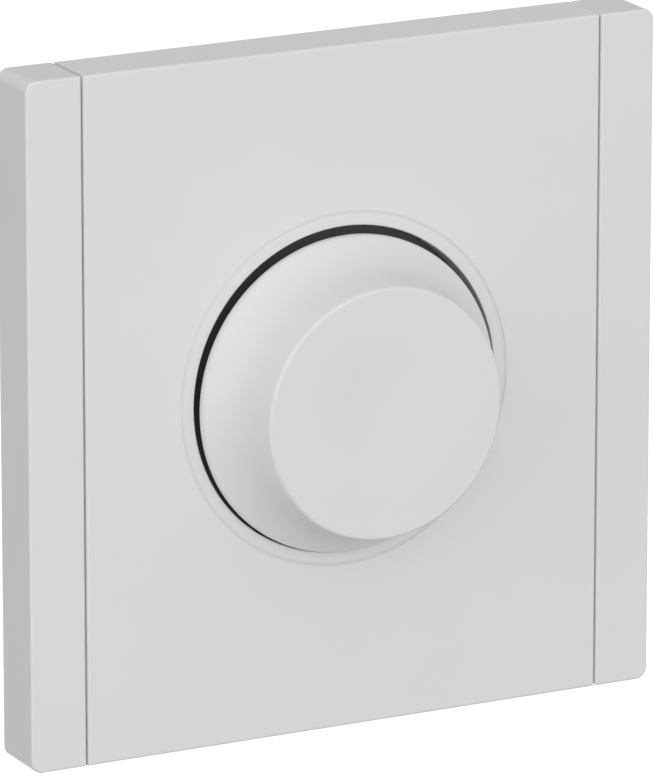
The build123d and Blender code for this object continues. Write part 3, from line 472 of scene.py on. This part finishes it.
# Wire terminals: brass blocks sawn from extruded bar and drilled for the wires. Their sides carry fine
# lines along Y from the die.
sawn_brass = finish(
    "brass, extruded and sawn", light="#D2AE66", dark="#BD9850", roughness=0.36,
    cloud_mm=(5.0, 5.0, 5.0), grain_mm=(0.2, 5.0, 0.2), depth_mm=0.004, Metallic=1.0,
)
dress(sawn_brass, "terminal_left", "terminal_middle", "terminal_right")

# Case in the wall box: dark grey nylon with glass fibre, moulded in a spark-eroded tool. The fibre
# leaves cloudy flow marks, and the tool an even matt grain.
nylon = finish(
    "grey glass-filled nylon, moulded", light="#4C4D50", dark="#434447", roughness=0.55,
    cloud_mm=(14.0, 14.0, 5.0), grain_mm=(0.45, 0.45, 0.45), depth_mm=0.015, IOR=1.53,
)
dress(nylon, "housing_base")

# Bracket: 1 mm steel strip, pressed and punched, then zinc plated and passivated. The rolling lines
# still show, and the film of passivation gives slow bluish and straw-coloured clouds.
plated_strip = finish(
    "steel strip, zinc plated", light="#C3C9CE", dark="#B4B7B6", roughness=0.36,
    cloud_mm=(16.0, 16.0, 22.0), grain_mm=(0.25, 0.25, 8.0), depth_mm=0.006, Metallic=1.0,
)
dress(plated_strip, "mounting_bracket")

# Small steel pieces: nut, washer, can, clip, screws and claws, plated in a barrel. Their zinc is a
# little brighter than the bracket's and has no direction.
barrel_zinc = finish(
    "steel, barrel zinc plated", light="#CDD1D6", dark="#BABDBF", roughness=0.3,
    cloud_mm=(3.0, 3.0, 3.0), grain_mm=(0.35, 0.35, 0.35), depth_mm=0.006, Metallic=1.0,
)
dress(
    barrel_zinc, "bush_nut", "lock_washer", "pot_can", "shaft_clip", "terminal_screws", "housing_screws",
    "claw_left", "claw_right", "claw_screw_left", "claw_screw_right",
)

# Threads of the claw screws: rolled from the shank and plated with it, so each is one ridge on a helix
# that runs out at both ends. The claw's nut rides on it.
thread_pitch = 0.0006
thread_foot = 0.00148
thread_crest = 0.00164
thread_half = 0.00026
thread_start = 0.0012
thread_run_out = math.pi
thread_end_share = 0.1
thread_steps = 28


def thread(axis_x, end):
    """Ridge on a helix about the line X = axis_x along Y.

    At angle t it lies at y = start + pitch * t / 2 pi. Its section is a triangle with two foot corners and
    a crest, whose height grows over half a turn from a small blunt step at each end. Rows run along the
    helix and columns round the section.
    """
    turn = 2 * math.pi
    last = turn * (end - thread_start) / thread_pitch
    t = np.linspace(0.0, last, int(thread_steps * last / turn))[:, None]
    height = np.clip(np.minimum(t, last - t) / thread_run_out, thread_end_share, 1.0)
    foot = np.full_like(t, thread_foot)
    radius = np.hstack([foot, foot + (thread_crest - thread_foot) * height, foot])
    y = thread_start + thread_pitch * t / turn + np.array([-thread_half, 0.0, thread_half])
    return np.stack([axis_x + radius * np.cos(t), y, radius * np.sin(t)], axis=2)


for side in ("left", "right"):
    low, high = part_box(f"claw_screw_{side}")
    ridge = thread((low[0] + high[0]) / 2, high[1] - thread_half)
    add_piece(f"claw_screw_thread_{side}", barrel_zinc, f"{side}_claw", "zinc_steel", ridge)

# Insulating cap: a shallow dish of dark PBT behind the opening, matt from a coarse spark-eroded
# mould. It keeps fingers off the bracket when the knob is pulled off.
dark_pbt = finish(
    "dark PBT, spark-eroded mould", light="#707072", dark="#68686A", roughness=0.6,
    cloud_mm=(10.0, 10.0, 10.0), grain_mm=(0.4, 0.4, 0.4), depth_mm=0.012, IOR=1.55,
)
dress(dark_pbt, "insulating_cap")

# Cover frame: two plain side strips on one hidden web, moulded in white ASA. The mould's fine satin
# texture, drawn a few times as coarse here so that it shows, spreads the highlights, and the tone drifts
# very slightly with the flow of the plastic.
satin = dict(
    roughness=0.42, cloud_mm=(18.0, 18.0, 18.0), grain_mm=(0.25, 0.25, 0.25), depth_mm=0.003, IOR=1.52,
)
dress(finish("white ASA, satin moulded", light="#ECECEC", dark="#EAEAEA", **satin), "cover_frame")

# Knob: the same plastic in a slightly cooler batch, moulded in one piece and pushed onto the shaft. It
# has the frame's satin texture all over, also on the dished face.
cool_white = dict(light="#ECECEE", dark="#EAEAEC", **satin)
dress(finish("cool white ASA, satin moulded", **cool_white), "knob")

# Centre plate: the knob's plastic, snapped into the bracket with its hooks. A round insert in the mould
# leaves a witness line round the opening, and painted shade darkens the colour in a thin ring along it.
# At a shallow angle the satin shows a faint pale bloom, as on the edges and in the bore.
line_radius_mm = 20.8
line_half_width_mm = 0.34
line_shade = 0.15
# Colour of the painted shade along the witness line.
line_shade_tone = "#8A8A8A"
line_middle_mm = (0.15, 0.3)
plate = finish(
    "cool white ASA, satin moulded with a witness line", **cool_white, **{"Sheen Weight": 0.2},
)
tree = plate.node_tree
shader = tree.nodes["Principled BSDF"]
flat = add_node(tree, "ShaderNodeMapping", {
    "Vector": tree.nodes["Texture Coordinate"].outputs["Object"],
    "Location": (-line_middle_mm[0] / mm_per_m, 0.0, -line_middle_mm[1] / mm_per_m),
    "Scale": (1.0, 0.0, 1.0),
})
radius = add_node(tree, "ShaderNodeVectorMath", {0: flat.outputs["Vector"]}, operation="LENGTH")
offset = add_node(tree, "ShaderNodeMath", {
    0: radius.outputs["Value"], 1: line_radius_mm / mm_per_m,
}, operation="SUBTRACT")
away = add_node(tree, "ShaderNodeMath", {0: offset.outputs[0]}, operation="ABSOLUTE")
# Painted shade: the base colour darkens in a soft ring along the witness line, most at its middle.
painted_shade = add_node(tree, "ShaderNodeMapRange", {
    "Value": away.outputs[0], "From Max": line_half_width_mm / mm_per_m,
    "To Min": line_shade, "To Max": 0.0,
}, interpolation_type="SMOOTHSTEP")
unshaded_tone = shader.inputs["Base Color"].links[0].from_socket
shaded_tone = add_node(tree, "ShaderNodeMix", {"Factor": painted_shade.outputs["Result"], "A": unshaded_tone}, data_type="RGBA")
shaded_tone.inputs["B"].default_value = linear(line_shade_tone)
tree.links.new(shaded_tone.outputs["Result"], shader.inputs["Base Color"])
dress(plate, "centre_plate")

# Floor: a plain pale sheet of paper well below the object. It glows a little and takes no part in the
# light on the object, so it stays an even white without a shadow.
floor_half = 6.0
floor_level = -0.45
floor_corners = np.array([(-1, -1), (1, -1), (1, 1), (-1, 1)]) * floor_half
floor_mesh = bpy.data.meshes.new("floor")
floor_mesh.from_pydata(np.c_[floor_corners, np.full(4, floor_level)].tolist(), [], [(0, 1, 2, 3)])
floor_mesh.materials.append(finish(
    "pale floor paper", light="#F6F6F6", dark="#F2F2F2", roughness=0.9,
    cloud_mm=(400.0, 400.0, 400.0), grain_mm=(2.0, 2.0, 2.0), depth_mm=0.02,
    **{"Emission Color": linear("#FFFFFF"), "Emission Strength": 0.6},
))
floor = bpy.data.objects.new("floor", floor_mesh)
bpy.context.scene.collection.objects.link(floor)
floor.visible_diffuse = False
floor.visible_glossy = False
floor.visible_shadow = False

# Studio light: a white room that is brighter above than below, a large soft lamp in front, a weaker one
# beside the camera, one to the left that lights the narrow side, and a low one for the back.
room_above = 0.64
room_below = 0.24
world = bpy.data.worlds.new("studio")
world.use_nodes = True
tree = world.node_tree
background = tree.nodes["Background"]
background.inputs["Color"].default_value = linear("#FFFFFF")
way = add_node(tree, "ShaderNodeTexCoord").outputs["Generated"]
level = add_node(tree, "ShaderNodeSeparateXYZ", {"Vector": way}).outputs["Z"]
room = add_node(tree, "ShaderNodeMapRange", {
    "Value": level, "From Min": -1.0, "From Max": 1.0, "To Min": room_below, "To Max": room_above,
})
tree.links.new(room.outputs["Result"], background.inputs["Strength"])
bpy.context.scene.world = world


def soft_lamp(name, direction, power, size, reach):
    """Square area lamp at this reach from the object in this direction, facing it."""
    aim = Vector(direction).normalized()
    lamp = bpy.data.lights.new(name, "AREA")
    lamp.size = size
    lamp.energy = power
    lamp_object = bpy.data.objects.new(name, lamp)
    lamp_object.location = aim * reach
    lamp_object.rotation_mode = "QUATERNION"
    lamp_object.rotation_quaternion = aim.to_track_quat("Z", "Y")
    bpy.context.scene.collection.objects.link(lamp_object)


soft_lamp("front lamp", direction=(0.0, -1.0, 0.1), power=11.2, size=1.6, reach=2.0)
soft_lamp("camera lamp", direction=(-0.35, -0.88, 0.3), power=5.6, size=1.6, reach=2.0)
soft_lamp("side lamp", direction=(-0.95, -0.25, 0.15), power=6.2, size=1.6, reach=2.0)
soft_lamp("back lamp", direction=(0.4, 1.0, -0.45), power=4.5, size=1.0, reach=1.2)
bpy.context.scene.view_settings.view_transform = "Standard"

# Camera: a long lens from the left and a little above, as in the photograph. It looks at a point just
# below the knob's middle.
azimuth = math.radians(-27.08)
elevation = math.radians(15.73)
distance = 0.9755
lens_mm = 392.1
sensor_mm = 36.0
target = Vector((0.00157, 0.0, -0.00163))
toward = Vector((
    math.sin(azimuth) * math.cos(elevation),
    -math.cos(azimuth) * math.cos(elevation),
    math.sin(elevation),
))
camera_data = bpy.data.cameras.new("camera")
camera_data.sensor_width = sensor_mm
camera_data.lens = lens_mm
camera = bpy.data.objects.new("camera", camera_data)
camera.location = target + toward * distance
camera.rotation_mode = "QUATERNION"
camera.rotation_quaternion = toward.to_track_quat("Z", "Y")
bpy.context.scene.collection.objects.link(camera)
bpy.context.scene.camera = camera
